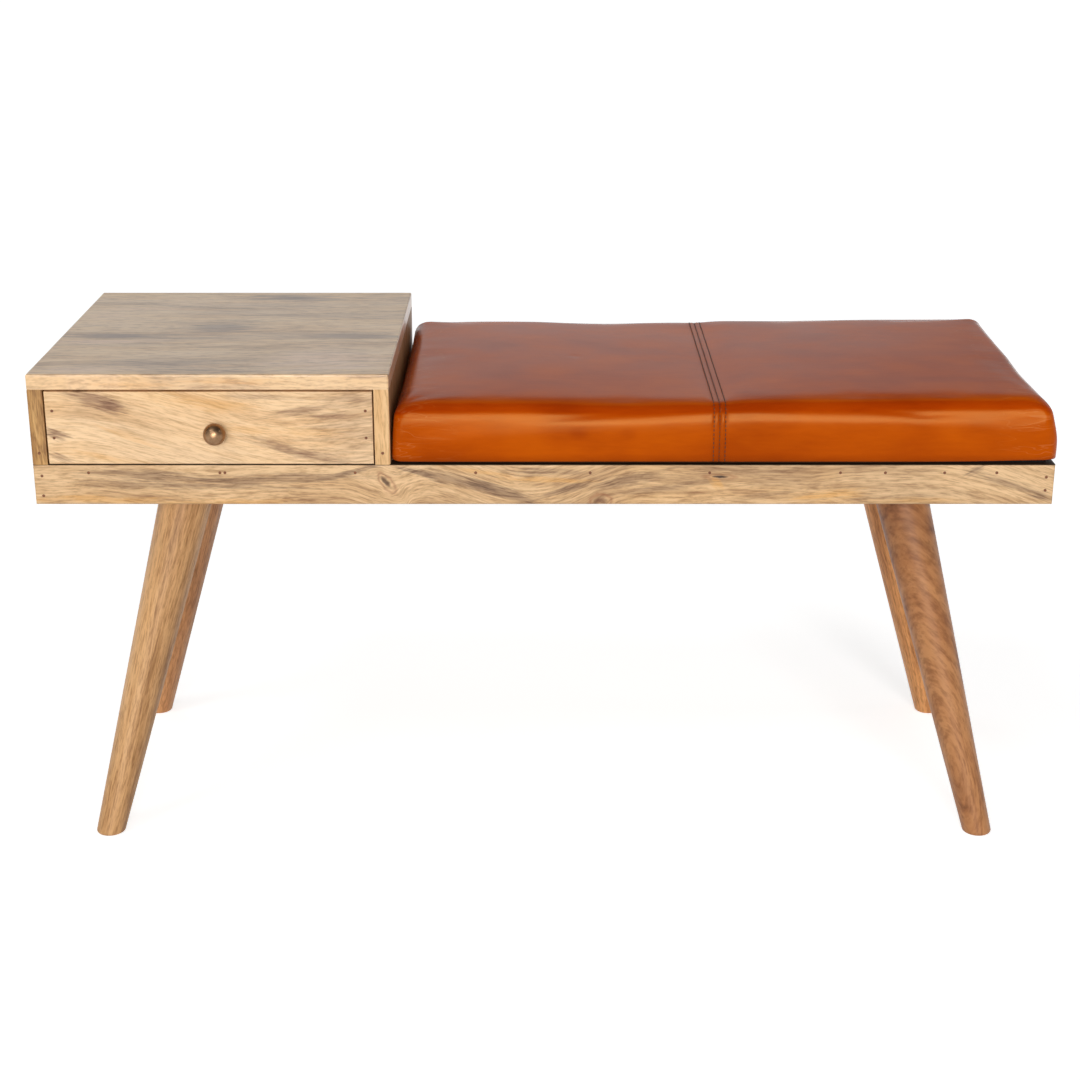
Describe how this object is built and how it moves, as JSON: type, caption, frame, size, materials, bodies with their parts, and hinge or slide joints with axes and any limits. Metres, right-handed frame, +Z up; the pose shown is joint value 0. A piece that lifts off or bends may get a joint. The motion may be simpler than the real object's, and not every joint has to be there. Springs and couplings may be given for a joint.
{
  "type": "entry bench",
  "caption": "Wooden entry bench on splayed tapered legs, with a small drawer case at one end and a seamed leather seat pad over the rest.",
  "frame": {"origin": "on the floor, under the middle of the whole outline, knob included", "axes": "+X along the bench to the seat end, the drawer opens towards -Y, +Z up"},
  "size_m": [1.1, 0.427, 0.556],
  "materials": {
    "wood_front": "satin oiled hardwood, honey brown with dark figure",
    "wood_drawer": "satin oiled hardwood with a dark streak",
    "wood_case": "satin oiled hardwood, paler",
    "wood_top": "satin oiled hardwood, greyish brown streaks",
    "wood_leg": "satin oiled hardwood, warm brown",
    "wood_panel": "plain unstained wood",
    "leather": "glossy tan leather with slight mottling",
    "foam": "open-cell upholstery foam",
    "felt": "black felt",
    "pin_filler": "steel pins under dark brown filler",
    "steel": "zinc plated",
    "brass": "aged brass, soft shine"
  },
  "bodies": {
    "bench": {"base_front_rail": "wood_front", "base_back_rail": "wood_front", "base_left_end": "wood_front", "base_right_end": "wood_front", "base_deck": "wood_panel", "leg_rail_left": "wood_panel", "leg_rail_right": "wood_panel", "leg_front_left": "wood_leg", "leg_front_right": "wood_leg", "leg_back_left": "wood_leg", "leg_back_right": "wood_leg", "leg_bolts": "steel", "leg_nuts": "steel", "leg_rail_screws": "steel", "frame_pins": "pin_filler", "case_left_side": "wood_case", "case_right_side": "wood_case", "case_top": "wood_top", "case_back": "wood_panel", "case_dowels": "wood_panel", "drawer_stops": "wood_panel", "seat_board": "wood_panel", "seat_foam": "foam", "seat_cover_left": "leather", "seat_cover_right": "leather", "seat_felt": "felt", "seat_screws": "steel"},
    "drawer": {"drawer_front": "wood_drawer", "drawer_left_side": "wood_panel", "drawer_right_side": "wood_panel", "drawer_back": "wood_panel", "drawer_bottom": "wood_panel", "drawer_pins": "pin_filler", "drawer_knob": "brass", "knob_screw": "steel"}
  },
  "joints": [
    {"name": "drawer_slide", "type": "slide", "parent": "bench", "child": "drawer", "axis": [0, -1, 0], "range_m": [0, 0.26]}
  ]
}
